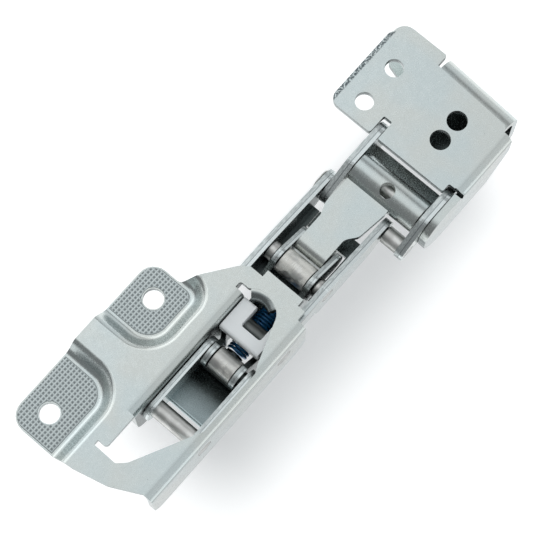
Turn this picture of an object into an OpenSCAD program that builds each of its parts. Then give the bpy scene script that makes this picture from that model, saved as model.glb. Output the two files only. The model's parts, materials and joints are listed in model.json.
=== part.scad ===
// Concealed multi-link door hinge: a folded bracket screwed to the cabinet, a seven-pivot
// lever train folding down out of its channel, and a folded door bracket at the far end.
// Origin: midway between the two ear holes, on the underside of the mounting pads.
// +X points along the hinge to the door, +Y to the free edge of the flange, +Z up.

/* [Mounting bracket] */
// Thickness of the bracket's sheet
sheet_t = 2.0; // [1.6:0.1:2.3]
// Distance between the two ear holes
hole_pitch = 41.5; // [39:0.5:44]
// Diameter of the ear holes
ear_hole_d = 5.8; // [4:0.1:6.6]
// Length of the flange along the hinge
flange_len = 57.6; // [56:0.1:62]
// Distance from the ear holes to the free edge of the flange
flange_edge = 7.7; // [6:0.1:10]
// Distance from the ear holes to the inner edge of the pads
pad_inner = 8.2; // [7:0.1:9]
// Depth of the pads below the top plate
pad_drop = 4; // [3:0.1:4.5]
// Width of the smooth bevel round the pads
bevel_run = 4.8; // [4:0.1:5.2]
// Width of the raised saddle between the pads, bevels included
saddle_w = 16.5; // [14:0.5:18]
// Distance from the saddle's middle to the point midway between the holes
saddle_shift = 2.25; // [1:0.25:3]
// Distance from the ear holes to the middle of the channel
channel_offset = 26.6; // [26:0.1:27]
// Clear width of the channel between its walls
channel_w = 16.6; // [16:0.1:17]
// Depth of the channel walls below the pads
wall_depth = 13.2; // [12:0.1:16]
// Outer radius of the wall bends
bend_r = 3; // [2.5:0.1:3.5]
// Front edge of the top plate
front_x = 44; // [43:0.5:45]

/* [Lever train] */
// Place of the rear pivot along the hinge
rear_pivot_x = -0.5; // [-2:0.5:1]
// Place of the arms' pivot along the hinge
arm_pivot_x = 32; // [31:0.5:33]
// Depth of the arms' pivot below the underside of the pads
arm_pivot_depth = 1.5; // [1.3:0.1:2]
// Reach of the rear lever and of the arms up to their crossing
lever_reach = 20.8; // [20:0.1:21.5]
// Rise of the rear lever and of the arms over that reach
lever_rise = 0.5; // [0:0.1:0.8]
// Distance along the hinge from the crossing to the link's rear pivot
link_pivot_dx = 7.97; // [7.8:0.01:8.3]
// Drop from the crossing to the link's rear pivot
link_pivot_drop = 2.97; // [2.6:0.01:3.3]
// Distance along the hinge from the crossing to the arms' door pivot
door_pivot_dx = 24.43; // [23.5:0.01:25]
// Drop from the crossing to the arms' door pivot
door_pivot_drop = 2.53; // [2.2:0.01:2.9]
// Distance along the hinge from the crossing to the knuckle's pivot
knuckle_dx = 33.2; // [32.5:0.1:34]
// Rise from the crossing to the knuckle's pivot
knuckle_rise = 1.13; // [0.8:0.01:1.4]
// Thickness of the two outer arms
arm_t = 2.3; // [1.8:0.1:2.4]
// Gap between the left arm and the channel wall beside it
arm_gap = 2.2; // [1.6:0.1:2.6]
// Gap between the left arm and the inner lever in front of the bracket
lever_room = 2.6; // [2:0.1:3]
// Thickness of the rear and inner levers
lever_t = 1.7; // [1.4:0.05:1.8]
// Thickness of the neck link's sheet
link_t = 2.0; // [1.6:0.1:2.2]
// Outside diameter of the link's rolled knuckle
knuckle_d = 10; // [9.6:0.1:10.2]
// Diameter of the hole across the knuckle
knuckle_hole_d = 4.4; // [3:0.1:5]
// Diameter of the rear and arm pivot pins
body_pin_d = 5.2; // [4.6:0.1:5.4]
// Diameter of the rear lever's front pin
lever_pin_d = 4.2; // [3.8:0.1:4.6]
// Diameter of the sleeve on the rear lever's front pin
lever_sleeve_d = 7; // [6:0.1:7.4]
// Diameter of the pin where arms and inner lever cross
cross_pin_d = 4.4; // [4:0.1:4.8]
// Diameter of the sleeve on the crossing pin
cross_sleeve_d = 7.6; // [6.4:0.1:7.8]
// Diameter of the pins at the link, the knuckle and the door studs
link_pin_d = 4.0; // [3.6:0.1:4.2]

/* [Spring and slider] */
// Drop from the rear lever's front pin to the spring's axis
spring_drop = 6.5; // [6.3:0.1:6.8]
// Outside diameter of the coil spring
spring_d = 6.4; // [5.6:0.1:6.6]
// Diameter of the spring's wire
wire_d = 0.85; // [0.6:0.05:0.95]
// Number of turns of the spring
spring_turns = 23; // [18:1:24]
// Diameter of the cam pin that the plunger bears on
cam_pin_d = 3.4; // [3:0.1:3.6]
// Length of the plastic slider
slider_len = 10.7; // [10:0.1:11]
// Width of the notch in the slider
slider_notch = 6.7; // [6:0.1:7]

/* [Door bracket] */
// Thickness of the clevis
clevis_t = 2.5; // [2:0.1:2.6]
// Clear width between the clevis cheeks
clevis_w = 23.5; // [23.2:0.1:24]
// Thickness of the door plate's sheet
door_t = 2.2; // [1.8:0.1:2.4]
// Length of the flat door plate along the hinge
door_len = 26.6; // [25:0.1:28]
// Distance from the knuckle's pivot to the front edge of the door plate
door_front = 8.4; // [8:0.1:9]
// Depth of the folded door bracket
door_depth = 18.6; // [17:0.1:22]
// Diameter of the outer pair of door holes
door_hole_d = 5.4; // [4:0.1:6]
// Distance between the outer pair of door holes
door_hole_pitch = 12.8; // [12:0.1:13]
// Diameter of the inner pair of door holes
inner_hole_d = 5.9; // [4:0.1:6]
// Distance between the inner pair of door holes
inner_hole_pitch = 7.3; // [7:0.1:8]

/* [Hidden] */
$fn = 64;

// Running clearance of a pin in a turning eye, on the radius
fit_gap = 0.05;
// Clearance of the knuckle, whose pivot closes the lever loop
loop_gap = 0.15;
// Sideways gap between neighbouring moving sheets
side_gap = 0.3;
// Length added to cutting tools beyond the faces they cut
over = 1;
// Overlap of a folded sheet with the flat that it continues
seam = 0.5;
// Metal left round the pins in the eyes of the levers
body_eye_wall = 1.7;
lever_eye_wall = 1.9;
cross_eye_wall = 2.0;
link_eye_wall = 1.6;
stud_eye_wall = 2.4;
cam_eye_wall = 1.4;
// Rivet heads: thickness, and overhang beyond the pin
head_t = 0.5;
head_over = 0.7;
stud_head_over = 1.4;

zinc = [0.74, 0.77, 0.79];
bare_steel = [0.62, 0.61, 0.58];
white_plastic = [0.93, 0.94, 0.94];
blue_wire = [0.08, 0.24, 0.45];

// Levels of the mounting bracket
pad_top = sheet_t;
plate_bottom = pad_drop;
plate_top = pad_drop + sheet_t;

// Channel walls, as Y values
wall_in_l = -(channel_offset - channel_w / 2);
wall_in_r = -(channel_offset + channel_w / 2);
wall_out_l = wall_in_l + sheet_t;
wall_out_r = wall_in_r - sheet_t;

// Pivots, as [x, z]
arm_pivot = [arm_pivot_x, -arm_pivot_depth];
lever_vector = [lever_reach, lever_rise];
rear_pivot = [rear_pivot_x, -arm_pivot_depth - lever_rise];
lever_pivot = rear_pivot + lever_vector;
cross_pivot = arm_pivot + lever_vector;
link_pivot = cross_pivot + [link_pivot_dx, -link_pivot_drop];
door_pivot = cross_pivot + [door_pivot_dx, -door_pivot_drop];
knuckle_pivot = cross_pivot + [knuckle_dx, knuckle_rise];

// Lanes of the moving sheets, each [low y, high y]
rear_lane_l = [wall_in_l - side_gap - lever_t, wall_in_l - side_gap];
rear_lane_r = [wall_in_r + side_gap, wall_in_r + side_gap + lever_t];
arm_lane_l = [wall_out_l + arm_gap, wall_out_l + arm_gap + arm_t];
arm_lane_r = [wall_in_r + side_gap, wall_in_r + side_gap + arm_t];
joggle = lever_t + side_gap;
inner_lane_l = rear_lane_l - [joggle, joggle];
inner_high_r = arm_lane_r[1] + side_gap + lever_t;
inner_lane_r = [inner_high_r - lever_t, inner_high_r];
front_lane_l = [arm_lane_l[0] - lever_room - lever_t, arm_lane_l[0] - lever_room];
clevis_in_l = arm_lane_l[0] - side_gap - clevis_t;
clevis_in_r = clevis_in_l - clevis_w;
clevis_mid = (clevis_in_l + clevis_in_r) / 2;

// Eyes round the pivots
body_eye_r = body_pin_d / 2 + body_eye_wall;
lever_eye_r = lever_pin_d / 2 + lever_eye_wall;
cross_eye_r = cross_pin_d / 2 + cross_eye_wall;
link_eye_r = link_pin_d / 2 + link_eye_wall;
stud_eye_r = link_pin_d / 2 + stud_eye_wall;
cam_eye_r = cam_pin_d / 2 + cam_eye_wall;
knuckle_r = knuckle_d / 2;

// Ends of the channel walls and of the window between them
wall_rear_r = rear_pivot[0] - 20.5;
wall_rear_l = rear_pivot[0] - 6.5;
strip_rear = rear_pivot[0] - 17.5;
window_rear = strip_rear - 1.5;
wall_front_r = front_x - 3;
hook_x = front_x - 6.9;

// Inner lever's trough, which carries the spring under the arms' pivot
spring_room = 0.2;
collar_r = spring_d / 2 - 0.5;
spring_mid_y = inner_lane_l[0] - spring_room - collar_r;
front_high_r = spring_mid_y - spring_d / 2 - spring_room;
front_lane_r = [front_high_r - lever_t, front_high_r];
spring_z = lever_pivot[1] - spring_drop;
trough_floor = spring_z - spring_d / 2 - spring_room;
trough_r = (spring_d / 2 + spring_room + lever_t) * 0.8;
trough_z = trough_floor - lever_t + trough_r;
trough_rear = [lever_pivot[0] + 9.2, trough_z];
trough_front = [cross_pivot[0] - 8.8, trough_z];
step_start = lever_pivot[0] + lever_eye_r + side_gap;
step_len = 3;
joggle_start = hook_x + 3.4;
joggle_len = 6;
joggle_end = joggle_start + joggle_len;
cam_pivot = [lever_pivot[0] - 1.8, spring_z];
plunger_len = 5;
plunger_rear = cam_pivot[0] + cam_pin_d / 2 + fit_gap;
plunger_front = plunger_rear + plunger_len;
spring_seat_x = cross_pivot[0] - 4.2;

// Flanges along the arms' lower edges, and the web that joins them in front of the inner lever
arm_flange_t = 1.8;
arm_flange_z = cross_pivot[1] - cross_eye_r - 3.2;
arm_flange_rear = arm_pivot[0] + 13;
arm_flange_front = door_pivot[0] - stud_eye_r - 0.8;
arm_web_rear = link_pivot[0] + link_eye_r + 1.2;

// Neck link
link_rise = 1.6;
link_top = knuckle_pivot[1] + link_rise;
link_rear = link_pivot[0] - link_eye_r;
link_front = link_pivot[0] + link_eye_r;
neck_high = front_lane_l[0] - side_gap;
neck_low = front_lane_r[1] + side_gap;

// Door bracket
cheek_short = 0.15;
clevis_web_z = knuckle_pivot[1] - 9.6;
door_top = knuckle_pivot[1] + knuckle_r - cheek_short;
door_front_x = knuckle_pivot[0] + door_front;
door_back_x = door_front_x + door_len;
door_edge_y = 0.6;
door_side_y = clevis_in_r - clevis_t - 0.15 - door_t;
tab_len_l = 6;
tab_len_r = 2.6;
back_skew = 3.5;
back_shift = (door_edge_y - clevis_mid) * tan(back_skew);
fold_low = clevis_in_r - 1.6;
fold_high = clevis_in_l - 0.1;
hole_x = door_front_x + 12.4;
hole_y = door_edge_y - 7.9;
inner_hole_x = door_front_x + 14.6;
inner_hole_y = clevis_mid - 1.65;

// Angle between two directions, from -180 to 180
function turn(from, to) = (to - from + 540) - 360 * floor((to - from + 540) / 360) - 180;

function unit(v) = v / norm(v);

// Arc that rounds the corner b between a and c with radius r
function corner(a, b, c, r, n) =
  let (
    u = unit(a - b),
    v = unit(c - b),
    half = acos(u * v) / 2,
    mid = b + unit(u + v) * r / sin(half),
    p = b + u * r / tan(half) - mid,
    q = b + v * r / tan(half) - mid,
    start = atan2(p[1], p[0]),
    sweep = turn(start, atan2(q[1], q[0]))
  )
  [for (i = [0:n]) mid + r * [cos(start + sweep * i / n), sin(start + sweep * i / n)]];

function flat(p) = [p[0], p[1]];

// Outline through corners [x, y, radius]
function rounded(pts, n = 6) =
  let (m = len(pts))
  [for (i = [0:m - 1])
    each pts[i][2] == 0
      ? [flat(pts[i])]
      : corner(flat(pts[(i + m - 1) % m]), flat(pts[i]), flat(pts[(i + 1) % m]), pts[i][2], n)];

// Outline round two discs, as a belt runs round two pulleys
function belt(p, rp, q, rq, n = 16) =
  let (
    along = atan2(q[1] - p[1], q[0] - p[0]),
    side = acos((rp - rq) / norm(q - p))
  )
  concat(
    [for (i = [0:n]) let (a = along + side + (360 - 2 * side) * i / n) p + rp * [cos(a), sin(a)]],
    [for (i = [0:n]) let (a = along - side + 2 * side * i / n) q + rq * [cos(a), sin(a)]]
  );

// Section of a sheet that runs flat to u = 0 and then bends down to depth drop
function bend(r, t, run, drop, n = 8) = concat(
  [[-run, 0]],
  [for (i = [0:n]) let (a = 90 - 90 * i / n) [r * cos(a), r * sin(a) - r]],
  [[r, -drop], [r - t, -drop]],
  [for (i = [0:n]) let (a = 90 * i / n) [(r - t) * cos(a), (r - t) * sin(a) - r]],
  [[-run, -t]]
);

// Sheet lying across the hinge: an [x, z] outline given a width from y low to y high
module across(lane) {
  translate([0, lane[1], 0]) rotate([90, 0, 0]) linear_extrude(lane[1] - lane[0]) children();
}

// Bar lying along the hinge: a [y, z] outline given a length from x low to x high
module along(low, high) {
  translate([low, 0, 0]) rotate([90, 0, 90]) linear_extrude(high - low) children();
}

module level(low, high) {
  translate([0, 0, low]) linear_extrude(high - low) children();
}

// Round bar across the hinge at a pivot
module rod(p, lane, r) {
  translate([p[0], lane[1], p[1]]) rotate([90, 0, 0]) cylinder(r = r, h = lane[1] - lane[0]);
}

// Cutter of a hole across a lane
module bore(p, lane, r) {
  rod(p, [lane[0] - over, lane[1] + over], r);
}

// Space above a pad: floor, smooth bevel and one rounded inner corner.
// The pad reaches far in +x and +y from its corner at the origin.
module pad_space(floor_z, rim_z, corner_r) {
  far = flange_len + channel_offset;
  steps = 12;
  slope = [for (i = [0:steps]) let (s = i / steps)
    [bevel_run * s, floor_z + (rim_z - floor_z) * (1 - cos(180 * s)) / 2]];
  rim = [[bevel_run, rim_z + over]];
  straight = concat([[-far, floor_z]], slope, rim, [[-far, rim_z + over]]);
  round_part = concat([[-corner_r, floor_z]], slope, rim, [[-corner_r, rim_z + over]]);
  mirror([1, 0, 0]) across([corner_r, far]) polygon(straight);
  mirror([0, 1, 0]) along(corner_r, far) polygon(straight);
  translate([corner_r, corner_r, 0]) rotate([0, 0, 180])
    rotate_extrude(angle = 90) translate([corner_r, 0]) polygon(round_part);
}

// The upper pad is closed at both ends, by the saddle and by the lug in front of it
module both_pad_spaces(floor_z, rim_z) {
  half = saddle_w / 2;
  saddle_r = 6.5;
  lug_r = 3;
  intersection() {
    translate([saddle_shift + half, -pad_inner, 0]) pad_space(floor_z, rim_z, saddle_r);
    translate([flange_len / 2, -pad_inner, 0]) mirror([1, 0, 0]) pad_space(floor_z, rim_z, lug_r);
  }
  translate([saddle_shift - half, -pad_inner, 0]) mirror([1, 0, 0]) pad_space(floor_z, rim_z, saddle_r);
}

// Plan of the flange and top plate, up to where the right wall's bend begins
module bracket_plan() {
  end = flange_len / 2;
  bend_line = wall_out_r + bend_r;
  polygon(rounded([
    [-end, flange_edge, 5], [end, flange_edge, 5], [end, -2.4, 2],
    [front_x - 1.7, wall_out_l + 4, 2.5], [front_x, wall_out_l + 1.6, 1.2],
    [front_x, bend_line, 0], [wall_rear_r, bend_line, 0],
    [wall_rear_r - 4.4, bend_line + 8.5, 8], [wall_rear_r - 7, -pad_inner - 6.8, 4], [-end, -pad_inner, 4]
  ]));
}

// Plan of the window in the top plate, with its hook-shaped front end
module window_plan() {
  bend_line = wall_in_l + bend_r;
  slot_w = 2;
  polygon(rounded([
    [window_rear, bend_line, 0], [strip_rear, bend_line, 0], [strip_rear, wall_in_l, 1],
    [wall_rear_l, wall_in_l, 0],
    [wall_rear_l, bend_line, 0], [hook_x + slot_w, bend_line, 0.9],
    [hook_x + slot_w, wall_in_l, 0.8], [hook_x + 4.1, wall_in_l - 3, 3],
    [hook_x + 2.6, wall_in_l - 10.2, 5], [arm_pivot[0] - 7, wall_in_r + 1.2, 3],
    [arm_pivot[0] - 9.4, wall_in_r, 1], [rear_pivot[0] + 2.4, wall_in_r, 1.5],
    [window_rear + 2.2, wall_in_l - 7, 2], [window_rear - 0.1, wall_in_l - 4.6, 1]
  ]));
}

// Sheet of even thickness that follows the pads, bevels and top plate
module formed_sheet() {
  difference() {
    level(0, plate_top) bracket_plan();
    both_pad_spaces(pad_top, plate_top);
    difference() {
      level(-over, plate_bottom) square(4 * flange_len, center = true);
      both_pad_spaces(0, plate_bottom);
    }
  }
}

// Channel wall whose outer face is at y = face, cut to a side outline
module channel_wall(face, low, high) {
  intersection() {
    along(low, high)
      polygon([for (p = bend(bend_r, sheet_t, seam, plate_top + wall_depth))
        [face + bend_r - p[0], plate_top + p[1]]]);
    across([face - over, face + 2 * bend_r])
      polygon(rounded([
        [low, plate_top + over, 0], [high, plate_top + over, 0],
        [high, -wall_depth, 4], [low, -wall_depth, 4]
      ]));
  }
}

// Short end wall that stands against the front edge of the top plate, a little lower than its top
module front_tab() {
  tab_step = 0.4;
  tab_drop = 3.2;
  across([wall_in_r + 3.5, wall_in_l - 0.6])
    translate([front_x - seam, plate_top - tab_drop]) square([sheet_t + 0.3 + seam, tab_drop - tab_step]);
}

// Lip drawn down along the round front end of the window
module window_lip() {
  lip_r = sheet_t + 0.3;
  lip_drop = lip_r + 0.9;
  lip_step = 0.05;
  edge_r = 7;
  first = -36;
  sweep = 76;
  translate([hook_x - 3.3, wall_in_l - 5.3, plate_top - lip_step]) rotate([0, 0, first])
    rotate_extrude(angle = sweep)
      polygon([for (p = bend(lip_r, sheet_t, 2 * seam, lip_drop)) [edge_r - p[0], p[1]]]);
}

module mounting_bracket() color(zinc) {
  pin_r = body_pin_d / 2;
  across_all = [wall_out_r, wall_out_l];
  difference() {
    union() {
      difference() {
        union() {
          formed_sheet();
          channel_wall(wall_out_r, wall_rear_r, wall_front_r);
          front_tab();
        }
        level(plate_top - bend_r, plate_top + over) window_plan();
      }
      channel_wall(wall_in_l, wall_rear_l, hook_x);
      window_lip();
    }
    for (side = [-1, 1])
      translate([side * hole_pitch / 2, 0, -over]) cylinder(d = ear_hole_d, h = sheet_t + 2 * over);
    bore(arm_pivot, across_all, pin_r);
    bore(rear_pivot, across_all, pin_r);
  }
}

// Pin of the two arms, headed beyond the left arm and riveted flush in the right wall
module arm_pin() color(bare_steel) {
  head_y = arm_lane_l[1] + side_gap;
  rod(arm_pivot, [wall_out_r, head_y], body_pin_d / 2);
  rod(arm_pivot, [head_y, head_y + head_t], body_pin_d / 2 + head_over);
}

module arm_spacer() color(bare_steel) difference() {
  lane = [wall_out_l, arm_lane_l[0] - side_gap];
  rod(arm_pivot, lane, body_pin_d / 2 + head_over);
  bore(arm_pivot, lane, body_pin_d / 2);
}

module rear_pin() color(bare_steel) {
  rod(rear_pivot, [wall_out_r, wall_out_l], body_pin_d / 2);
  rod(rear_pivot, [wall_out_l, wall_out_l + head_t], body_pin_d / 2 + head_over);
}

// White block saddled on the arms' pin, notched so that the pin can be greased
module slider_block() color(white_plastic) {
  low = arm_pivot[0] - 5.5;
  high = low + slider_len;
  lane = [inner_lane_r[0], wall_in_l - side_gap];
  base_z = arm_pivot[1] + 1.3;
  top_z = plate_bottom - side_gap;
  notch_x = arm_pivot[0] - 1.6;
  notch_low = wall_in_l - 8.1 - slider_notch / 2;
  notch_high = notch_low + slider_notch;
  difference() {
    across(lane)
      polygon(rounded([
        [low, base_z, 0.6], [high, base_z, 0.6], [high, top_z, 1], [low, top_z, 1]
      ]));
    level(base_z - over, top_z + over)
      polygon(rounded([
        [notch_x, notch_low, 0.8], [high + over, notch_low, 0],
        [high + over, notch_high, 0], [notch_x, notch_high, 0.8]
      ]));
    bore(arm_pivot, lane, body_pin_d / 2);
  }
}

// Channel lever between the rear pivot and the inner lever, with a web under its middle
module rear_lever() color(zinc) difference() {
  whole = [rear_lane_r[0], rear_lane_l[1]];
  web_rear = [rear_pivot[0] + 4.2, cam_pivot[1] - 0.2];
  web_front = [cam_pivot[0] + 1, cam_pivot[1] - cam_eye_r - 0.9];
  web_r = 0.7;
  union() {
    for (lane = [rear_lane_l, rear_lane_r])
      across(lane) {
        polygon(belt(rear_pivot, body_eye_r, lever_pivot, lever_eye_r));
        polygon(belt(lever_pivot, lever_eye_r, cam_pivot, cam_eye_r));
        polygon(belt(cam_pivot, cam_eye_r, rear_pivot, body_eye_r));
      }
    across(whole)
      polygon(rounded([
        [web_rear[0], web_rear[1], web_r], [web_rear[0], web_rear[1] + lever_t, web_r],
        [web_front[0], web_front[1] + lever_t, web_r], [web_front[0], web_front[1], web_r]
      ]));
  }
  bore(rear_pivot, whole, body_pin_d / 2 + fit_gap);
  bore(lever_pivot, whole, lever_pin_d / 2);
  bore(cam_pivot, whole, cam_pin_d / 2);
}

module lever_pin() color(bare_steel)
  rod(lever_pivot, [rear_lane_r[0], rear_lane_l[1]], lever_pin_d / 2);

module lever_sleeve() color(bare_steel) difference() {
  lane = [inner_lane_r[1] + side_gap, inner_lane_l[0] - side_gap];
  rod(lever_pivot, lane, lever_sleeve_d / 2);
  bore(lever_pivot, lane, lever_pin_d / 2);
}

module cam_pin() color(bare_steel)
  rod(cam_pivot, [rear_lane_r[0], rear_lane_l[1]], cam_pin_d / 2);

// Side view of the inner lever: it dips under the arms' pin between its two eyes
module inner_side() {
  polygon(belt(lever_pivot, lever_eye_r, trough_rear, trough_r));
  polygon(belt(trough_rear, trough_r, trough_front, trough_r));
  polygon(belt(trough_front, trough_r, cross_pivot, cross_eye_r));
  polygon(belt(cross_pivot, cross_eye_r, link_pivot, link_eye_r));
}

// Plan of a cheek that runs through stations [x, outer y]
module cheek_plan(stations) {
  last = len(stations) - 1;
  polygon(concat(stations, [for (i = [last:-1:0]) stations[i] - [0, lever_t]]));
}

// Plan of both cheeks, set over in steps: past the rear lever, and again in front of the bracket
module cheeks_plan() {
  rear = lever_pivot[0] - 2 * lever_eye_r;
  front = link_pivot[0] + 2 * link_eye_r;
  cheek_plan([
    [rear, inner_lane_l[1]], [step_start, inner_lane_l[1]], [step_start + step_len, rear_lane_l[1]],
    [joggle_start, rear_lane_l[1]], [joggle_end, front_lane_l[1]], [front, front_lane_l[1]]
  ]);
  cheek_plan([
    [rear, inner_lane_r[1]], [joggle_start, inner_lane_r[1]],
    [joggle_end, front_lane_r[1]], [front, front_lane_r[1]]
  ]);
}

// Plan of the trough's floor between the outer faces of the cheeks
module floor_plan() {
  end = spring_seat_x + lever_t;
  polygon([
    [trough_rear[0], inner_lane_r[0]], [joggle_start, inner_lane_r[0]], [joggle_end, front_lane_r[0]],
    [end, front_lane_r[0]], [end, front_lane_l[1]], [joggle_end, front_lane_l[1]],
    [joggle_start, rear_lane_l[1]], [trough_rear[0], rear_lane_l[1]]
  ]);
}

module inner_lever() color(zinc) {
  whole = [inner_lane_r[0], front_lane_l[1]];
  floor_low = trough_floor - lever_t;
  seat_h = spring_d + lever_t - 0.6;
  difference() {
    union() {
      intersection() {
        across(whole) inner_side();
        level(floor_low - over, plate_top) cheeks_plan();
      }
      level(floor_low, trough_floor) floor_plan();
      across([front_lane_r[0], front_lane_l[1]])
        translate([spring_seat_x, floor_low]) square([lever_t, seat_h]);
    }
    bore(lever_pivot, whole, lever_pin_d / 2 + fit_gap);
    bore(cross_pivot, whole, cross_pin_d / 2 + fit_gap);
    bore(link_pivot, whole, link_pin_d / 2);
  }
}

module link_pin() color(bare_steel)
  rod(link_pivot, [front_lane_r[0], front_lane_l[1]], link_pin_d / 2);

// Coil spring between the plunger's collar and the inner lever's seat
module spring() {
  mean_r = (spring_d - wire_d) / 2;
  sides = 6;
  per_turn = 14;
  rings = spring_turns * per_turn;
  start = plunger_front + wire_d / 2 + fit_gap;
  pitch = (spring_seat_x - fit_gap - wire_d / 2 - start) / spring_turns;
  function wire_point(i, k) =
    let (
      a = 360 * i / per_turn,
      b = 360 * k / sides,
      r = mean_r + wire_d / 2 * cos(b)
    )
    [start + pitch * i / per_turn + wire_d / 2 * sin(b), spring_mid_y + r * cos(a), spring_z + r * sin(a)];
  points = [for (i = [0:rings], k = [0:sides - 1]) wire_point(i, k)];
  walls = [for (i = [0:rings - 1], k = [0:sides - 1])
    let (a = i * sides + k, b = i * sides + (k + 1) % sides) [a, b, b + sides, a + sides]];
  rear_cap = [[for (k = [sides - 1:-1:0]) k]];
  front_cap = [[for (k = [0:sides - 1]) rings * sides + k]];
  color(blue_wire) polyhedron(points, concat(walls, rear_cap, front_cap));
}

// Follower that the spring presses against the cam pin
module plunger() color(bare_steel) {
  collar = 1.2;
  shank_r = collar_r - 0.6;
  bevel = 0.4;
  translate([plunger_rear, spring_mid_y, spring_z]) rotate([0, 90, 0])
    rotate_extrude() polygon([
      [0, 0], [shank_r - bevel, 0], [shank_r, bevel], [shank_r, plunger_len - collar],
      [collar_r, plunger_len - collar], [collar_r, plunger_len], [0, plunger_len]
    ]);
}

// Arm from the bracket past the crossing to the door's lower pivot, deepened where its flange is
module outer_arm(lane, flange_lane, flange_rear, eye_r) color(zinc) difference() {
  union() {
    across(lane) {
      polygon(belt(arm_pivot, body_eye_r, cross_pivot, cross_eye_r));
      polygon(belt(cross_pivot, cross_eye_r, door_pivot, eye_r));
      polygon(rounded([
        [flange_rear - 2, cross_pivot[1], 0], [flange_rear, arm_flange_z, 2],
        [arm_flange_front, arm_flange_z, 2], [door_pivot[0], door_pivot[1], 0]
      ]));
    }
    across(flange_lane)
      translate([flange_rear + 1, arm_flange_z])
        square([arm_flange_front - 2 - flange_rear, arm_flange_t]);
    children();
  }
  bore(arm_pivot, lane, body_pin_d / 2 + fit_gap);
  bore(cross_pivot, lane, cross_pin_d / 2);
  bore(door_pivot, lane, link_pin_d / 2 + fit_gap);
}

module outer_arm_left()
  outer_arm(arm_lane_l, [front_lane_l[1] + side_gap, arm_lane_l[0] + seam], arm_flange_rear, stud_eye_r);

// The right arm also carries the web, which reaches to the left arm's flange
module outer_arm_right() {
  flange_lane = [arm_lane_r[1] - seam, front_lane_r[0] - side_gap];
  outer_arm(arm_lane_r, flange_lane, arm_flange_rear + 3.5, link_eye_r)
    across([flange_lane[0], front_lane_l[1] + 0.1])
      translate([arm_web_rear, arm_flange_z]) square([arm_flange_front - 1 - arm_web_rear, arm_flange_t]);
}

// Pin riveted flush through both arms, with shoulders between the arms and the inner lever
module crossing_pin() color(bare_steel) {
  rod(cross_pivot, [arm_lane_r[0], arm_lane_l[1]], cross_pin_d / 2);
  rod(cross_pivot, [front_lane_l[1] + side_gap, arm_lane_l[0]], cross_pin_d / 2 + head_over);
  rod(cross_pivot, [arm_lane_r[1], front_lane_r[0] - side_gap], cross_pin_d / 2 + head_over);
}

module crossing_sleeve() color(bare_steel) difference() {
  lane = [front_lane_r[1] + side_gap, front_lane_l[0] - side_gap];
  rod(cross_pivot, lane, cross_sleeve_d / 2);
  bore(cross_pivot, lane, cross_pin_d / 2);
}

// Plan of the neck link: narrow between the lever's cheeks, flaring to its knuckle
module neck_plan() {
  high = clevis_in_l - 0.5;
  low = arm_lane_r[1] + side_gap;
  end = knuckle_pivot[0];
  flare = end - knuckle_r - 4;
  polygon(rounded([
    [link_rear + bend_r, neck_low, 0], [link_front + 2.8, neck_low, 3], [link_front + 6, low + 1.2, 3],
    [flare + 2.5, low, 2], [end, low, 0], [end, high, 0],
    [link_front + 7.6, high, 3], [link_front + 4.2, neck_high, 3], [link_rear + bend_r, neck_high, 0]
  ]));
}

module neck_link() color(zinc) {
  knuckle_lane = [clevis_in_r + side_gap + 0.1, clevis_in_l - side_gap - 0.1];
  neck_lane = [neck_low, neck_high];
  hole_shift = 1.2;
  difference() {
    union() {
      rod(knuckle_pivot, knuckle_lane, knuckle_r);
      level(link_top - link_t, link_top) neck_plan();
      across(neck_lane) {
        polygon([for (p = bend(bend_r, link_t, seam, link_top - link_pivot[1]))
          [link_rear + bend_r - p[0], link_top + p[1]]]);
        polygon(belt(link_pivot, link_eye_r, link_pivot + [0, link_t / 10], link_eye_r));
      }
    }
    bore(knuckle_pivot, knuckle_lane, link_pin_d / 2 + loop_gap);
    bore(link_pivot, neck_lane, link_pin_d / 2 + fit_gap);
    translate([knuckle_pivot[0] - hole_shift, clevis_mid, knuckle_pivot[1]])
      cylinder(d = knuckle_hole_d, h = knuckle_r + over);
  }
}

// Cheek of the clevis, from the arms' door pivot past the knuckle to its tab in the plate
module clevis_cheek(lane, tab_end, stud_r) {
  eye = knuckle_r - cheek_short;
  tip = [tab_end - eye, door_top - eye];
  heel_r = 3.5;
  heel = [door_front_x, clevis_web_z + heel_r - 1];
  difference() {
    across(lane) {
      polygon(belt(door_pivot, stud_r, knuckle_pivot, eye));
      polygon(belt(knuckle_pivot, eye, tip, eye));
      polygon(belt(knuckle_pivot, eye, heel, heel_r));
      polygon(belt(heel, heel_r, tip, eye));
    }
    bore(knuckle_pivot, lane, link_pin_d / 2);
    bore(door_pivot, lane, link_pin_d / 2);
  }
}

module door_clevis() color(zinc) {
  outer_l = clevis_in_l + clevis_t;
  outer_r = clevis_in_r - clevis_t;
  web_x = knuckle_pivot[0] + knuckle_r + 1.2;
  clevis_cheek([clevis_in_l, outer_l], door_front_x + tab_len_l, stud_eye_r);
  clevis_cheek([outer_r, clevis_in_r], door_front_x + tab_len_r, link_eye_r - 0.4);
  across([outer_r, outer_l])
    translate([web_x, clevis_web_z]) square([door_front_x + 2 - web_x, clevis_t]);
}

// Plan of the flat door plate, notched for the clevis tabs
module door_plan() {
  notch_gap = 0.2;
  front = door_front_x;
  tab_l = front + tab_len_l + notch_gap;
  tab_r = front + tab_len_r + notch_gap;
  slot_high = clevis_in_l + clevis_t + notch_gap;
  slot_low = clevis_in_l - notch_gap;
  polygon(rounded([
    [front, door_edge_y, 3], [front, slot_high, 0.8], [tab_l, slot_high, 0.5], [tab_l, slot_low, 0.5],
    [front, slot_low, 0.5], [front, clevis_in_r + notch_gap, 0.5], [tab_r, clevis_in_r + notch_gap, 0.5],
    [tab_r, door_side_y + bend_r, 0], [door_back_x - 2.6, door_side_y + bend_r, 1.5],
    [door_back_x - 0.7, fold_low + 0.6, 1], [door_back_x + back_shift, door_edge_y, 3]
  ]));
}

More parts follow.
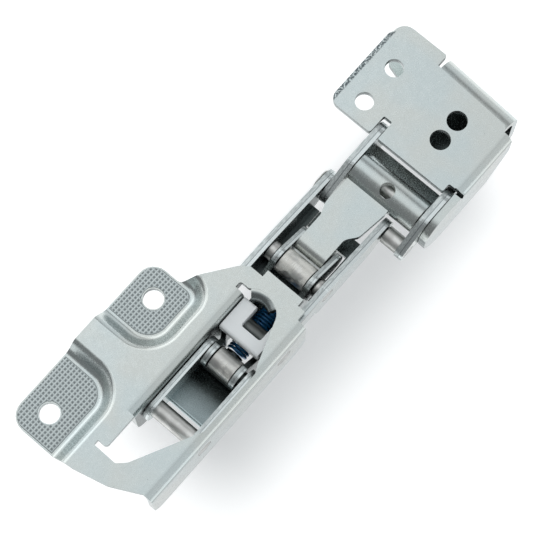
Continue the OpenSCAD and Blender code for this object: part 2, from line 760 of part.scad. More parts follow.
// Fold at the back of the door plate, a little out of square and a hair below the plate's top.
// It returns under the plate as the bracket's foot.
module door_fold() {
  fold_r = 4.9;
  fold_step = 0.05;
  foot_r = 3;
  foot_len = door_len - 4;
  fold_mid = (fold_low + fold_high) / 2;
  half = (fold_high - fold_low) / 2;
  translate([door_back_x, fold_mid, -fold_step]) rotate([0, 0, -back_skew]) across([-half, half]) {
    polygon([for (p = bend(fold_r, door_t, 3 * seam, door_depth - foot_r)) [p[0], door_top + p[1]]]);
    translate([fold_r - foot_r, door_top - door_depth]) mirror([0, 1])
      polygon(bend(foot_r, door_t, foot_len, foot_r));
  }
}

// Slanted ear of the foot, beside the fold
module foot_ear() {
  rear = door_back_x - 4;
  high = door_edge_y - 2.1;
  low = fold_high - 1;
  foot_z = door_top - door_depth;
  level(foot_z, foot_z + door_t)
    polygon(rounded([
      [rear + 1.6, high, 1.5], [door_back_x + 3, high, 1.5], [door_back_x + 1.7, low, 0], [rear - 3, low, 0]
    ]));
}

// Leaf under the plate's back edge, left of the fold, where the sheet is doubled
module back_leaf() {
  rear = door_back_x - 3.5;
  back = door_back_x + 5.4;
  low = fold_high + 1.4;
  level(door_top - 2 * door_t, door_top - door_t + seam / 5)
    polygon(rounded([
      [rear, door_edge_y - 0.2, 1], [back, door_edge_y - 0.2, 4], [back, low, 0.6], [rear, low, 0]
    ]));
}

// Side wall folded down from the plate, which runs forward as a tongue outside the right cheek
module side_wall() {
  low = door_top - door_depth;
  front = door_pivot[0] + 4.2;
  wall_front = door_front_x + tab_len_r + 0.4;
  wall_back = door_back_x - 2.4;
  tongue_top = door_top - 0.6;
  intersection() {
    union() {
      along(wall_front, wall_back)
        polygon([for (p = bend(bend_r, door_t, seam, door_depth))
          [door_side_y + bend_r - p[0], door_top + p[1]]]);
      across([door_side_y, door_side_y + door_t])
        translate([front, low]) square([wall_front + seam - front, tongue_top - low]);
    }
    across([door_side_y - over, door_side_y + 2 * bend_r])
      polygon(rounded([
        [front, tongue_top, 7], [wall_front - 1.2, tongue_top, 0], [wall_front, tongue_top - 2.6, 0],
        [wall_front + 0.1, door_top + over, 0], [wall_back, door_top + over, 0], [wall_back, low + 9, 0],
        [wall_back - 9, low, 3], [front, low, 9]
      ]));
  }
}

module door_plate() color(zinc) {
  under = door_top - door_t - over;
  difference() {
    union() {
      level(door_top - door_t, door_top) door_plan();
      side_wall();
      door_fold();
      foot_ear();
      back_leaf();
    }
    for (side = [-1, 1]) {
      translate([hole_x + side * door_hole_pitch / 2, hole_y, under])
        cylinder(d = door_hole_d, h = door_t + 2 * over);
      translate([inner_hole_x + side * inner_hole_pitch / 2, inner_hole_y, under])
        cylinder(d = inner_hole_d, h = door_t + 2 * over);
    }
  }
}

module knuckle_pin() color(bare_steel)
  rod(knuckle_pivot, [clevis_in_r - clevis_t, clevis_in_l + clevis_t], link_pin_d / 2);

module door_stud_left() color(bare_steel) {
  head_y = arm_lane_l[1] + side_gap;
  rod(door_pivot, [clevis_in_l, head_y], link_pin_d / 2);
  rod(door_pivot, [head_y, head_y + head_t], link_pin_d / 2 + stud_head_over);
}

// Shouldered stud that spans from the right cheek to the arm inside it
module door_stud_right() color(bare_steel) {
  rod(door_pivot, [clevis_in_r - clevis_t, arm_lane_r[1]], link_pin_d / 2);
  rod(door_pivot, [clevis_in_r, arm_lane_r[0] - side_gap], link_pin_d / 2 + head_over);
}

mounting_bracket();
arm_pin();
arm_spacer();
rear_pin();
slider_block();
rear_lever();
lever_pin();
lever_sleeve();
cam_pin();
inner_lever();
link_pin();
spring();
plunger();
outer_arm_left();
outer_arm_right();
crossing_pin();
crossing_sleeve();
neck_link();
door_clevis();
door_plate();
knuckle_pin();
door_stud_left();
door_stud_right();
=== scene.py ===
import json
import math
import bmesh
import bpy
import numpy as np
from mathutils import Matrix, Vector
from mathutils.bvhtree import BVHTree


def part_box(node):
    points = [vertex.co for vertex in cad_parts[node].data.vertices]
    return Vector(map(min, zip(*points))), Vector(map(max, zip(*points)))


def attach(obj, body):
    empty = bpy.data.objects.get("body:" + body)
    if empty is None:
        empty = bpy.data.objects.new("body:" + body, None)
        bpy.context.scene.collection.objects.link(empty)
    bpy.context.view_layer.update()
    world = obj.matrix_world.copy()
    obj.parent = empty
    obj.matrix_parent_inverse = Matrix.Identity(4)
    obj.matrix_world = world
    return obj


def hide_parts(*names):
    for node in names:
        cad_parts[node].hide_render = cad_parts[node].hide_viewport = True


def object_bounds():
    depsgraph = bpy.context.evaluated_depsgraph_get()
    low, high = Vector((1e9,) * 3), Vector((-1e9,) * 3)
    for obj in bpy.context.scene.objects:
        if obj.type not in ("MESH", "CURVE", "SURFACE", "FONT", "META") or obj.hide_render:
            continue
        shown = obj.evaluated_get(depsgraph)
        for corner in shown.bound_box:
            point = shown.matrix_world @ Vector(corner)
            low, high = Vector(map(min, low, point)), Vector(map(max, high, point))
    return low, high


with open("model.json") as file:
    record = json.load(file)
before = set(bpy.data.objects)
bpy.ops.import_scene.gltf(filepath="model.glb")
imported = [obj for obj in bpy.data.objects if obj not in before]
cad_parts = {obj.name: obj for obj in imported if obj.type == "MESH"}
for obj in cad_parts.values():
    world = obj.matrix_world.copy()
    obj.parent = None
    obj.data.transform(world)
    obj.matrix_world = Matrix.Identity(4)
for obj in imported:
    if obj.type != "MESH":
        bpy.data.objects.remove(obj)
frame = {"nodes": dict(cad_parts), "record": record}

mm = 0.001
cadNodes = frame["nodes"]
cadBox = [list(corner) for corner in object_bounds()]
bodyOf = {node: body for body, members in frame["record"]["behaviour"]["bodies"].items() for node in members}
slotOf = {part["node"]: part["material_slot"] for part in frame["record"]["subparts"]}


class Wire:
    # a shader socket that adds its Math nodes when it stands in an expression
    def __init__(self, tree, socket=None):
        self.tree = tree
        self.socket = socket

    # one node: its settings go in first, then the values or links of its sockets
    def node(self, kind, settings=None, inputs=None, output=0):
        made = self.tree.nodes.new("ShaderNode" + kind)
        for name, value in (settings or {}).items():
            setattr(made, name, value)
        for name, value in (inputs or {}).items():
            self.feed(made.inputs[name], value)
        return Wire(self.tree, made.outputs[output])

    def feed(self, target, value):
        if isinstance(value, Wire):
            self.tree.links.new(value.socket, target)
        else:
            target.default_value = value

    def maths(self, operation, *values):
        return self.node("Math", {"operation": operation}, dict(enumerate(values)))

    def __add__(self, other):
        return self.maths("ADD", self, other)

    def __sub__(self, other):
        return self.maths("SUBTRACT", self, other)

    def __rsub__(self, other):
        return self.maths("SUBTRACT", other, self)

    def __mul__(self, other):
        return self.maths("MULTIPLY", self, other)

    __radd__ = __add__
    __rmul__ = __mul__

    # soft step from 0 at low to 1 at high
    def step(self, low, high):
        sockets = {"Value": self, "From Min": low, "From Max": high}
        return self.node("MapRange", {"interpolation_type": "SMOOTHSTEP"}, sockets)

    # colour between two colours or colour wires, which are the Mix node's inputs 6 and 7 and output 2
    def tint(self, first, second):
        return self.node("Mix", {"data_type": "RGBA"}, {0: self, 6: first, 7: second}, 2)

    # noise on these coordinates, size being the width of one blotch in metres
    def noise(self, size, detail=2.0, stretch=(1, 1, 1)):
        spread = self.node("Mapping", {}, {"Vector": self, "Scale": [s / size for s in stretch]})
        return self.node("TexNoise", {}, {"Vector": spread, "Scale": 1.0, "Detail": detail}, "Fac")

    # one of the coordinates, X, Y or Z
    def along(self, axis):
        return self.node("SeparateXYZ", {}, {"Vector": self}, axis)

    # a number that the mesh carries on its faces or corners
    def carried(self, name):
        return self.node("Attribute", {"attribute_name": name}, {}, "Fac")


# A new material with its fixed values set, its shader, and a wire of the piece's own coordinates
def newFinish(name, fixed):
    finish = bpy.data.materials.new(name)
    finish.use_nodes = True
    tree = finish.node_tree
    shader = tree.nodes["Principled BSDF"]
    for socket, value in fixed.items():
        shader.inputs[socket].default_value = value
    return finish, shader, Wire(tree).node("TexCoord", output="Object")


def setBump(here, shader, height):
    bump = here.node("Bump", {}, {"Strength": 1.0, "Distance": 1.0, "Height": height})
    here.feed(shader.inputs["Normal"], bump)


def rgb(red, green, blue):
    return (red, green, blue, 1.0)


# Painted shade where a face is walled in by other parts or stands upright: its colour, where it begins and
# is full, and its most share
paintedShade = {"colour": rgb(0.03, 0.042, 0.042), "begin": 0.52, "full": 0.90, "most": 0.93}


# The colour darkened by painted shade, which grows to its share where a face is walled in
def withPaintedShade(here, colour, share):
    paintedShading = share * here.carried("shadeShare").step(paintedShade["begin"], paintedShade["full"])
    return paintedShading.tint(colour, paintedShade["colour"])


zinc = {
    "cool": rgb(0.60, 0.665, 0.665), "warm": rgb(0.635, 0.665, 0.64), "pale": rgb(0.70, 0.75, 0.745),
    "cloud": 15 * mm, "mottle": 0.9 * mm, "grain": 0.17 * mm, "ripple": 4 * mm, "speck": 0.55 * mm,
    "dark": rgb(0.16, 0.19, 0.20), "rough": 0.26, "grainDepth": 0.003 * mm, "rippleDepth": 0.05 * mm,
    "cloudStep": (0.36, 0.64), "mottleStep": (0.36, 0.70), "speckStep": (0.75, 0.82),
    "mottleShare": 0.24, "speckShare": 0.55, "mottleRough": 0.05, "grainRough": 0.06, "metal": 0.94,
}
# The bands of a sheared edge, with places as shares of the sheet's thickness
sheared = {
    "burnished": rgb(0.72, 0.77, 0.77), "torn": rgb(0.48, 0.52, 0.52), "tear": 0.4 * mm, "depth": 0.02 * mm,
    "start": 0.45, "blur": 0.06, "lineCore": 0.01, "lineHalf": 0.07, "lineShare": 0.75,
    "tearStep": (0.34, 0.70), "tearStretch": (0.25, 1, 1), "rough": 0.14,
}


# Zinc plating: faint cool and warm clouds, fine mottling and grain. Sheared edges show a burnished band,
# a dark line and a torn band. A mark is a function that gives a mask and a colour for a place of its own.
def zincFinish(name, mark=None, paintedShading=paintedShade["most"]):
    finish, shader, here = newFinish(name, {"Metallic": zinc["metal"]})
    cloud = here.noise(zinc["cloud"]).step(*zinc["cloudStep"])
    mottle = here.noise(zinc["mottle"], detail=3.0).step(*zinc["mottleStep"])
    speck = here.noise(zinc["speck"], detail=1.0).step(*zinc["speckStep"])
    grain = here.noise(zinc["grain"])
    ripple = here.noise(zinc["ripple"], detail=1.0)
    face = (zinc["mottleShare"] * mottle).tint(cloud.tint(zinc["cool"], zinc["warm"]), zinc["pale"])
    face = (zinc["speckShare"] * speck).tint(face, zinc["dark"])
    cut = here.carried("cut")
    depth = here.carried("depth")
    start = sheared["start"]
    core = sheared["lineCore"]
    half = sheared["lineHalf"]
    torn = cut * depth.step(start, start + sheared["blur"])
    line = cut * (depth.step(start - half, start - core) - depth.step(start + core, start + half))
    tear = here.noise(sheared["tear"], detail=3.0, stretch=sheared["tearStretch"])
    tear = tear.step(*sheared["tearStep"])
    edge = torn.tint(sheared["burnished"], tear.tint(sheared["torn"], zinc["pale"]))
    colour = cut.tint(face, (sheared["lineShare"] * line).tint(edge, zinc["dark"]))
    if mark:
        # A mark's colour is the part's own, except on the rear lever's web, where it is painted shade
        mask, markColour = mark(here)
        colour = mask.tint(colour, markColour)
    # the colour darkened by painted shade in recesses and on upright faces
    here.feed(shader.inputs["Base Color"], withPaintedShade(here, colour, paintedShading))
    rough = zinc["rough"] + zinc["mottleRough"] * (mottle - 0.5) + zinc["grainRough"] * (grain - 0.5)
    here.feed(shader.inputs["Roughness"], rough + sheared["rough"] * torn)
    height = zinc["grainDepth"] * grain + zinc["rippleDepth"] * ripple + sheared["depth"] * (tear * torn)
    setBump(here, shader, height)
    return finish


doorEdge = {
    "start": -0.9 * mm, "full": -0.45 * mm, "level": 4.4 * mm, "blur": 0.2 * mm, "blotch": 0.55 * mm,
    "blotchStep": (0.40, 0.54), "share": 0.9, "markColour": rgb(0.07, 0.09, 0.10),
}


# Dark blotches along the rolled free edge of the door plate
def doorMark(here):
    near = here.along("Y").step(doorEdge["start"], doorEdge["full"])
    top = here.along("Z").step(doorEdge["level"], doorEdge["level"] + doorEdge["blur"])
    blotch = here.noise(doorEdge["blotch"]).step(*doorEdge["blotchStep"])
    return doorEdge["share"] * near * top * blotch, doorEdge["markColour"]


webShade = {
    "low": -6.5 * mm, "high": -4.0 * mm, "rear": 5 * mm, "front": 15 * mm, "share": 0.9,
    "paintedShading": rgb(0.48, 0.58, 0.60), "dark": rgb(0.06, 0.08, 0.08),
}


# Painted shade on the rear lever's web, deep in the channel and darker towards its front
def webShadeMark(here):
    deep = 1 - here.along("Z").step(webShade["low"], webShade["high"])
    forward = here.along("X").step(webShade["rear"], webShade["front"])
    return webShade["share"] * deep, forward.tint(webShade["paintedShading"], webShade["dark"])


windowLip = {
    "centre": (33.8 * mm, -23.6 * mm, 0), "inner": 4.2 * mm, "outer": 7.0 * mm, "blur": 0.5 * mm,
    "front": 3 * mm, "share": 0.8, "steel": rgb(0.20, 0.23, 0.235),
}


# Darker polished steel on the lip that is drawn down at the window's round end
def lipMark(here):
    flat = here.node("VectorMath", {"operation": "MULTIPLY"}, {0: here, 1: (1, 1, 0)})
    away = here.node("VectorMath", {"operation": "DISTANCE"}, {0: flat, 1: windowLip["centre"]}, "Value")
    blur = windowLip["blur"]
    inside = away.step(windowLip["inner"] - blur, windowLip["inner"])
    outside = 1 - away.step(windowLip["outer"] - blur, windowLip["outer"])
    front = windowLip["centre"][0] + windowLip["front"]
    ahead = here.along("X").step(front, front + blur)
    return windowLip["share"] * inside * outside * ahead, windowLip["steel"]


knurl = {
    "pitch": 1.08 * mm, "rise": 0.08 * mm, "floor": 0.02 * mm, "sink": 0.06 * mm, "fade": 0.35 * mm,
    "step": 0.12 * mm, "level": 2.0 * mm, "low": -8.2 * mm, "high": 7.7 * mm, "rim": 0.25 * mm,
    "holeX": 20.75 * mm, "holeR": 2.9 * mm, "holeRim": 0.15 * mm, "bead": 0.62 * mm, "beadBand": 0.75 * mm,
    "pads": {"upper": (10.5 * mm, 28.8 * mm), "lower": (-28.8 * mm, -6.0 * mm)},
    "saddleR": 6.5 * mm, "freeR": 5.0 * mm, "lugR": 3.0 * mm,
    "pitShade": rgb(0.25, 0.28, 0.285), "crest": rgb(0.50, 0.55, 0.55), "rough": 0.36, "pitRough": 0.2,
    "crestFrom": 0.1, "crestTo": 0.85, "wearAndShade": 0.75, "wearMottle": 0.5,
    "ridgePower": 1.6, "beadMean": 0.55, "beadSwing": 0.45,
}


# Knurled zinc: rougher in the pits and darkened there as painted shade, brighter on the crests where worn
def knurlFinish(name):
    finish, shader, here = newFinish(name, {"Metallic": zinc["metal"]})
    level = knurl["level"] + knurl["floor"]
    low = level + knurl["crestFrom"] * knurl["rise"]
    high = level + knurl["crestTo"] * knurl["rise"]
    crest = here.along("Z").step(low, high)
    mottle = here.noise(zinc["mottle"], detail=3.0)
    # painted shade in the pits by height, with mottled wear on the crests
    wearAndShade = crest * (knurl["wearAndShade"] + knurl["wearMottle"] * mottle)
    here.feed(shader.inputs["Base Color"], wearAndShade.tint(knurl["pitShade"], knurl["crest"]))
    grain = here.noise(zinc["grain"])
    rough = knurl["rough"] + knurl["pitRough"] * (1 - crest) + zinc["grainRough"] * (grain - 0.5)
    here.feed(shader.inputs["Roughness"], rough)
    setBump(here, shader, zinc["grainDepth"] * grain)
    return finish


turned = {
    "steel": rgb(0.60, 0.60, 0.58), "worn": rgb(0.78, 0.78, 0.76), "line": 0.12 * mm, "blotch": 3 * mm,
    "rough": 0.40, "lineDepth": 0.004 * mm,
    "lineStretch": (0.05, 1, 0.05), "lineRough": 0.2, "blotchStep": (0.4, 0.7),
}
grease = {
    "smear": 3.4 * mm, "streak": 0.9 * mm, "streakShare": 0.35, "colour": rgb(0.80, 0.79, 0.73),
    "share": 0.75, "depth": 0.03 * mm, "gloss": 0.16, "dulling": 0.8,
}


# Turned pins and sleeves: fine rings round the axis and worn blotches. Greased is where the smears of grease
# begin and where they are full, and the last argument is the most share that the painted shade in recesses
# takes.
def turnedFinish(name, greased=None, paintedShading=paintedShade["most"]):
    finish, shader, here = newFinish(name, {})
    lines = here.noise(turned["line"], detail=1.0, stretch=turned["lineStretch"])
    blotch = here.noise(turned["blotch"], detail=3.0).step(*turned["blotchStep"])
    colour = blotch.tint(turned["steel"], turned["worn"])
    rough = turned["rough"] + turned["lineRough"] * (lines - 0.5)
    height = turned["lineDepth"] * lines
    metal = 1.0
    if greased:
        streaks = grease["streakShare"] * here.noise(grease["streak"])
        smear = (here.noise(grease["smear"], detail=3.0) + streaks).step(*greased)
        colour = (grease["share"] * smear).tint(colour, grease["colour"])
        rough = rough - grease["gloss"] * smear
        height = height + grease["depth"] * smear
        metal = 1 - grease["dulling"] * smear
    here.feed(shader.inputs["Metallic"], metal)
    # the colour darkened by painted shade in recesses and on upright faces
    here.feed(shader.inputs["Base Color"], withPaintedShade(here, colour, paintedShading))
    here.feed(shader.inputs["Roughness"], rough)
    setBump(here, shader, height)
    return finish


plastic = {
    "base": rgb(0.92, 0.95, 0.955), "shade": rgb(0.87, 0.91, 0.92), "blotch": 3 * mm, "grain": 0.3 * mm,
    "rough": 0.36, "grainRough": 0.2, "glowWeight": 0.25, "glowReach": (2 * mm, 2 * mm, 2 * mm),
}


# White plastic that lets a little light through, with faint blotches and a fine grain
def plasticFinish(name):
    fixed = {
        "Subsurface Weight": plastic["glowWeight"], "Subsurface Radius": plastic["glowReach"],
        "Subsurface Scale": 1.0,
    }
    finish, shader, here = newFinish(name, fixed)
    blotch = here.noise(plastic["blotch"])
    grain = here.noise(plastic["grain"])
    here.feed(shader.inputs["Base Color"], blotch.tint(plastic["base"], plastic["shade"]))
    here.feed(shader.inputs["Roughness"], plastic["rough"] + plastic["grainRough"] * (grain - 0.5))
    return finish


wirePaint = {
    "deep": rgb(0.006, 0.10, 0.26), "light": rgb(0.02, 0.22, 0.50), "blotch": 1.2 * mm,
    "metal": 0.35, "coat": 0.5, "coatRough": 0.15, "rough": 0.28, "blotchRough": 0.2,
}


# Blue coated wire with darker and lighter blotches
def wireFinish(name):
    fixed = {
        "Metallic": wirePaint["metal"], "Coat Weight": wirePaint["coat"],
        "Coat Roughness": wirePaint["coatRough"],
    }
    finish, shader, here = newFinish(name, fixed)
    blotch = here.noise(wirePaint["blotch"])
    here.feed(shader.inputs["Base Color"], blotch.tint(wirePaint["deep"], wirePaint["light"]))
    here.feed(shader.inputs["Roughness"], wirePaint["rough"] + wirePaint["blotchRough"] * (blotch - 0.5))
    return finish


finishes = {
    "zinc_sheet": zincFinish("zinc_sheet_finish"),
    "bare_steel": turnedFinish("bare_steel_finish"),
    "white_plastic": plasticFinish("white_plastic_finish"),
    "blue_wire": wireFinish("blue_wire_finish"),
}
# A part's last keyword is the most share of painted shade in its recesses
ownFinishes = {
    "mounting_bracket": zincFinish("mounting_bracket_finish", lipMark),
    "door_plate": zincFinish("door_plate_finish", doorMark),
    "rear_lever": zincFinish("rear_lever_finish", webShadeMark, paintedShading=0.2),
    "neck_link": zincFinish("neck_link_finish", paintedShading=0.25),
    "door_clevis": zincFinish("door_clevis_finish", paintedShading=0.4),
    "lever_sleeve": turnedFinish("lever_sleeve_finish", greased=(0.62, 0.86), paintedShading=0.3),
    "crossing_sleeve": turnedFinish("crossing_sleeve_finish", greased=(0.52, 0.78), paintedShading=0.2),
    "knuckle_pin": turnedFinish("knuckle_pin_finish", paintedShading=0),
    "knurl": knurlFinish("knurl_finish"),
}
print("finishes:", len(finishes) + len(ownFinishes))


# Puts a mesh on its body with its finish
def putOn(mesh, name, body, finish):
    piece = bpy.data.objects.new(name, mesh)
    bpy.context.scene.collection.objects.link(piece)
    mesh.materials.clear()
    mesh.materials.append(finish)
    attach(piece, body)
    return piece


dressing = {
    "ease": {"zinc_sheet": 0.2 * mm, "bare_steel": 0.2 * mm, "white_plastic": 0.25 * mm},
    "merge": 0.001 * mm, "flat": math.radians(0.4), "sharp": math.radians(38), "smooth": math.radians(50),
}
# Sheet thickness, and the direction that the sheet's faces look in
upright = Vector((0, 0, 1))
sideways = Vector((0, 1, 0))
sheets = {
    "mounting_bracket": (2.0 * mm, upright), "door_plate": (2.2 * mm, upright),
    "neck_link": (2.0 * mm, upright), "door_clevis": (2.5 * mm, sideways),
    "outer_arm_left": (2.3 * mm, sideways), "outer_arm_right": (2.3 * mm, sideways),
    "rear_lever": (1.7 * mm, sideways), "inner_lever": (1.7 * mm, sideways),
}
cutEdge = {"lean": 0.35, "least": 0.6, "most": 1.25}


# Marks the sheared edges of a sheet, which stand square to it and are as wide as it is thick,
# and the place across the sheet from one face to the other
def markCuts(work, thick, facing):
    cut = work.loops.layers.float.new("cut")
    depth = work.loops.layers.float.new("depth")
    for face in work.faces:
        heights = [vertex.co.dot(facing) for vertex in face.verts]
        low = min(heights)
        width = max(heights) - low
        square = abs(face.normal.dot(facing)) < cutEdge["lean"]
        if square and cutEdge["least"] * thick < width < cutEdge["most"] * thick:
            for loop in face.loops:
                loop[cut] = 1.0
                loop[depth] = (loop.vert.co.dot(facing) - low) / width


# A copy of a CAD node with its doubles merged, its flats whole and its sharp edges eased
def dress(name):
    work = bmesh.new()
    work.from_mesh(cadNodes[name].data)
    bmesh.ops.remove_doubles(work, verts=work.verts, dist=dressing["merge"])
    bmesh.ops.dissolve_limit(work, angle_limit=dressing["flat"], verts=work.verts, edges=work.edges)
    sharp = [e for e in work.edges if e.is_manifold and e.calc_face_angle() > dressing["sharp"]]
    bmesh.ops.bevel(work, geom=sharp, offset=dressing["ease"][slotOf[name]], offset_type="OFFSET",
                    segments=2, profile=0.5, affect="EDGES", clamp_overlap=True)
    if name in sheets:
        markCuts(work, *sheets[name])
    mesh = bpy.data.meshes.new(name + "_eased")
    work.to_mesh(mesh)
    work.free()
    mesh.polygons.foreach_set("use_smooth", np.ones(len(mesh.polygons), bool))
    mesh.set_sharp_from_angle(angle=dressing["smooth"])
    finish = ownFinishes.get(name, finishes[slotOf[name]])
    piece = putOn(mesh, name + "_eased", bodyOf[name], finish)
    even = piece.modifiers.new("even light", "WEIGHTED_NORMAL")
    even.keep_sharp = True
    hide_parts(name)
    return piece


dressed = [dress(name) for name in sorted(cadNodes) if name != "spring"]
print("dressed:", len(dressed), "pieces")

shadeShare = {
    "reach": 30 * mm, "lift": 0.03 * mm, "rays": 40, "lowest": 0.2, "steep": 0.35, "steepShare": 0.70,
    "leastArea": 1e-12,
}


# Directions spread evenly over a ball: equal steps in height, turning by the golden angle
def evenDirections(count):
    k = np.arange(count) + 0.5
    z = 1 - 2 * k / count
    turn = k * math.pi * (3 - math.sqrt(5))
    flat = np.sqrt(1 - z * z)
    return np.stack([flat * np.cos(turn), flat * np.sin(turn), z], -1)


# Writes on every face the share of outward rays that soon meet another part of the hinge, which sets its
# painted shade.
# Faces that stand upright get a least share, which gives the walls a darker tone as painted shade.
def markShadeShare(pieces):
    corners = []
    faces = []
    for piece in pieces:
        start = len(corners)
        corners.extend(vertex.co for vertex in piece.data.vertices)
        faces.extend([start + v for v in face.vertices] for face in piece.data.polygons)
    hinge = BVHTree.FromPolygons(corners, faces)
    rays = [Vector(ray) for ray in evenDirections(shadeShare["rays"])]
    for piece in pieces:
        mesh = piece.data
        mesh.calc_loop_triangles()
        total = np.zeros(len(mesh.polygons))
        area = np.full(len(mesh.polygons), shadeShare["leastArea"])
        for triangle in mesh.loop_triangles:
            normal = mesh.polygons[triangle.polygon_index].normal
            centre = Vector(triangle.center) + normal * shadeShare["lift"]
            outward = [ray for ray in rays if ray.dot(normal) > shadeShare["lowest"]]
            met = sum(hinge.ray_cast(centre, ray, shadeShare["reach"])[0] is not None for ray in outward)
            total[triangle.polygon_index] += triangle.area * met / len(outward)
            area[triangle.polygon_index] += triangle.area
        steep = [abs(face.normal.z) < shadeShare["steep"] for face in mesh.polygons]
        share = np.maximum(total / area, np.where(steep, shadeShare["steepShare"], 0))
        mesh.attributes.new("shadeShare", "FLOAT", "FACE").data.foreach_set("value", share)


markShadeShare(dressed)
print("shelter: faces marked")


# Mesh of a grid of points, rows by columns, joined into a tube where the columns close.
# Where keep is given, only the faces with a corner in keep stay.
def gridMesh(name, points, closeColumns=False, keep=None):
    rows, columns = points.shape[:2]
    i = np.arange(rows - 1)[:, None]
    j = np.arange(columns if closeColumns else columns - 1)[None, :]
    right = (j + 1) % columns
    corners = [i * columns + j, i * columns + right, (i + 1) * columns + right, (i + 1) * columns + j]
    faces = np.stack(np.broadcast_arrays(*corners), -1).reshape(-1, 4)
    places = points.reshape(-1, 3)
    if keep is not None:
        faces = faces[keep.reshape(-1)[faces].any(axis=1)]
        used, faces = np.unique(faces, return_inverse=True)
        faces = faces.reshape(-1, 4)
        places = places[used]
    mesh = bpy.data.meshes.new(name)
    mesh.from_pydata(places.tolist(), [], faces.tolist())
    mesh.polygons.foreach_set("use_smooth", np.ones(len(mesh.polygons), bool))
    return mesh


# Depth inside a rectangle with its own radius at each corner: the distance to the nearest side,
# taken round the corner's arc where the point lies beyond the arc's centre. The radii go anticlockwise
# from the lowest corner.
def roundedDepth(x, y, low, high, radii):
    midX, midY = (low[0] + high[0]) / 2, (low[1] + high[1]) / 2
    r = np.where(x < midX, np.where(y < midY, radii[0], radii[3]), np.where(y < midY, radii[1], radii[2]))
    qx = np.abs(x - midX) - (high[0] - low[0]) / 2 + r
    qy = np.abs(y - midY) - (high[1] - low[1]) / 2 + r
    return r - np.hypot(np.maximum(qx, 0), np.maximum(qy, 0)) - np.minimum(np.maximum(qx, qy), 0)


# Soft step of an array from 0 to 1
def ease(values):
    t = np.clip(values, 0, 1)
    return t * t * (3 - 2 * t)


# Knurled skin of a pad: two crossed rows of cosine ridges with square pits between them, a beaded border
# along the bevel, and a fall below the pad's face at its rim and round its hole
def makeKnurl(side, radii, beadRadii):
    left, right = knurl["pads"][side]
    low, high = (left, knurl["low"]), (right, knurl["high"])
    x = np.arange(left, right + knurl["step"], knurl["step"])[None, :]
    y = np.arange(low[1], high[1] + knurl["step"], knurl["step"])[:, None]
    x, y = np.broadcast_arrays(x, y)
    holeX = knurl["holeX"] if left > 0 else -knurl["holeX"]
    rim = roundedDepth(x, y, low, high, radii) - knurl["rim"]
    hole = np.hypot(x - holeX, y) - knurl["holeR"] - knurl["holeRim"]
    cover = ease(np.minimum(rim, hole) / knurl["fade"])
    ridgeX = np.cos(np.pi * x / knurl["pitch"]) ** 2
    ridgeY = np.cos(np.pi * y / knurl["pitch"]) ** 2
    rows = np.maximum(ridgeX, ridgeY) ** knurl["ridgePower"]
    # the border follows only the bevel, so its other sides lie far away
    far = 10 * (high[0] - low[0])
    outer = (left if left > 0 else left - far, right), (low[1], high[1] + far)
    border = roundedDepth(x, y, (outer[0][0], outer[1][0]), (outer[0][1], outer[1][1]), beadRadii)
    beadWaves = np.cos(2 * np.pi * x / knurl["bead"]) * np.cos(2 * np.pi * y / knurl["bead"])
    beads = knurl["beadMean"] + knurl["beadSwing"] * beadWaves
    inBorder = 1 - ease((border - knurl["beadBand"]) / knurl["fade"] + 0.5)
    rise = knurl["floor"] + knurl["rise"] * (rows + (beads - rows) * inBorder)
    z = knurl["level"] - knurl["sink"] + (rise + knurl["sink"]) * cover
    points = np.stack([x, y, z], -1)
    mesh = gridMesh("knurl_" + side, points, keep=z > knurl["level"])
    putOn(mesh, "knurl_" + side, bodyOf["mounting_bracket"], ownFinishes["knurl"])


saddleR, lugR, freeR = knurl["saddleR"], knurl["lugR"], knurl["freeR"]
makeKnurl("upper", (saddleR, lugR, freeR, 0), (saddleR, lugR, 0, 0))
makeKnurl("lower", (0, saddleR, 0, freeR), (0, saddleR, 0, 0))
print("knurl: both pads")

spring = {"wire": 0.85 * mm, "turns": 23, "perTurn": 36, "sides": 12}


# Coil: the wire's circle, carried round the axis while it runs forward
def makeSpring():
    low, high = (np.array(corner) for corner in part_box("spring"))
    axis = (low + high) / 2
    wireR = spring["wire"] / 2
    meanR = (high[1] - low[1]) / 2 - wireR
    t = np.linspace(0, 1, spring["turns"] * spring["perTurn"] + 1)[:, None]
    k = np.linspace(0, 2 * np.pi, spring["sides"], endpoint=False)[None, :]
    turn = 2 * np.pi * spring["turns"] * t
    reach = meanR + wireR * np.cos(k)
    x = low[0] + wireR + (high[0] - low[0] - 2 * wireR) * t + wireR * np.sin(k)
    points = np.stack([x, axis[1] + reach * np.cos(turn), axis[2] + reach * np.sin(turn)], -1)
    mesh = gridMesh("spring_coil", points, closeColumns=True)
    piece = putOn(mesh, "spring_coil", bodyOf["spring"], finishes["blue_wire"])
    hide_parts("spring")


makeSpring()
print("spring: coil made")

studio = {
    "azimuth": -49.2, "elevation": 75.0, "focal": 2000.0, "image": 550.0, "sensor": 36.0,
    "distance": 543.9 * mm, "target": Vector((47.68, -20.17, 0)) * mm, "nearest": 0.01,
}


def setCamera():
    a = math.radians(studio["azimuth"])
    e = math.radians(studio["elevation"])
    back = Vector((math.sin(a) * math.cos(e), -math.cos(a) * math.cos(e), math.sin(e)))
    lens = bpy.data.cameras.new("camera")
    lens.sensor_width = studio["sensor"]
    lens.lens = studio["focal"] * studio["sensor"] / studio["image"]
    lens.clip_start = studio["nearest"]
    camera = bpy.data.objects.new("camera", lens)
    bpy.context.scene.collection.objects.link(camera)
    camera.location = studio["target"] + back * studio["distance"]
    camera.rotation_mode = "QUATERNION"
    camera.rotation_quaternion = back.to_track_quat("Z", "Y")
    bpy.context.scene.camera = camera


paper = {"half": 1.5, "rough": 0.9, "colour": rgb(0.97, 0.97, 0.97), "glow": 0.52, "hang": 66 * mm}
# Painted shadow: the patch under the hinge where the paper doesn't glow, as from and to of each soft border
shade = {
    "right": (-62 * mm, -26 * mm), "left": (-10 * mm, 14 * mm), "rear": (-20 * mm, 16 * mm),
    "front": (116 * mm, 150 * mm), "lit": rgb(1, 1, 1), "dim": rgb(0, 0, 0),
}
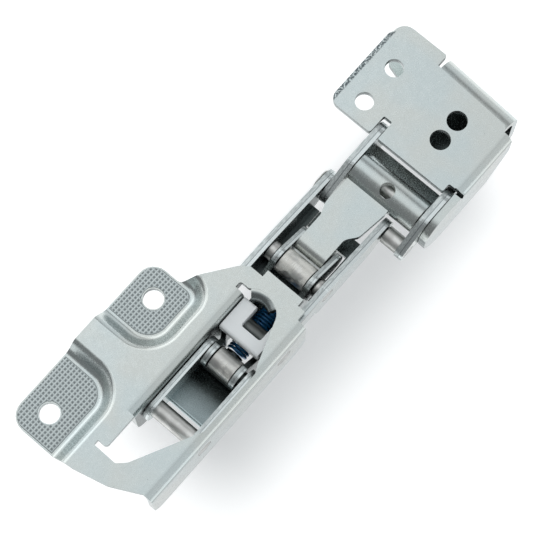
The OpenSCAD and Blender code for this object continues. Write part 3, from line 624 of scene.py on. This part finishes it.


# Pale paper that glows a little so that it stays white, with a painted shadow where the glow is off under
# the hinge, and lies low enough for the door to swing down
def setFloor():
    level = cadBox[0][2] - paper["hang"]
    ends = np.array([-paper["half"], paper["half"]])
    endX, endY = np.meshgrid(ends, ends)
    mesh = gridMesh("floor", np.stack([endX, endY, np.full_like(endX, level)], -1))
    finish, shader, here = newFinish("floor_paper", {
        "Roughness": paper["rough"], "Base Color": paper["colour"], "Emission Strength": paper["glow"],
    })
    x = here.along("X")
    y = here.along("Y")
    # painted shadow: the glow goes dark in a soft patch under the hinge
    shadowAcross = y.step(*shade["right"]) - y.step(*shade["left"])
    shadowAlong = x.step(*shade["rear"]) - x.step(*shade["front"])
    here.feed(shader.inputs["Emission Color"], (shadowAcross * shadowAlong).tint(shade["lit"], shade["dim"]))
    mesh.materials.append(finish)
    floor = bpy.data.objects.new("floor", mesh)
    bpy.context.scene.collection.objects.link(floor)


# name: place, point aimed at, width, height, power
lamps = {
    "key": ((0.05, 0.9, 1.0), (0.05, -0.02, 0), 2.2, 1.2, 6),
}
# Pale screens round the object, name: direction, the cosines where its light begins and is full, strength
screens = {
    "top": ((0.12, 0.10, 0.99), 0.82, 0.98, 0.70),
    "window": ((0.15, 0.95, 0.28), 0.70, 0.96, 0.8),
    "side": ((0.20, -0.85, 0.50), 0.60, 0.95, 0.55),
    "front": ((0.95, 0.20, 0.20), 0.80, 0.97, 0.60),
}
sky = {"colour": rgb(0.95, 0.98, 1.0), "dusk": 0.21}


# Dusky surroundings with soft screens in them, which the plated sheet mirrors
def setSky():
    world = bpy.data.worlds.new("studio")
    world.use_nodes = True
    tree = world.node_tree
    towards = Wire(tree).node("TexCoord", output="Generated")
    strength = sky["dusk"]
    for direction, begin, full, power in screens.values():
        sides = {0: towards, 1: direction}
        facing = towards.node("VectorMath", {"operation": "DOT_PRODUCT"}, sides, "Value")
        strength = power * facing.step(begin, full) + strength
    background = tree.nodes["Background"]
    background.inputs["Color"].default_value = sky["colour"]
    towards.feed(background.inputs["Strength"], strength)
    bpy.context.scene.world = world


def setLights():
    for name, (spot, aim, width, height, power) in lamps.items():
        light = bpy.data.lights.new(name, "AREA")
        light.shape = "RECTANGLE"
        light.size = width
        light.size_y = height
        light.energy = power
        lamp = bpy.data.objects.new(name, light)
        bpy.context.scene.collection.objects.link(lamp)
        lamp.location = spot
        lamp.rotation_euler = (Vector(spot) - Vector(aim)).to_track_quat("Z", "Y").to_euler()
    bpy.context.scene.view_settings.view_transform = "Standard"


setCamera()
setFloor()
setSky()
setLights()
print("studio: camera and floor, lamps:", len(lamps), "screens:", len(screens))
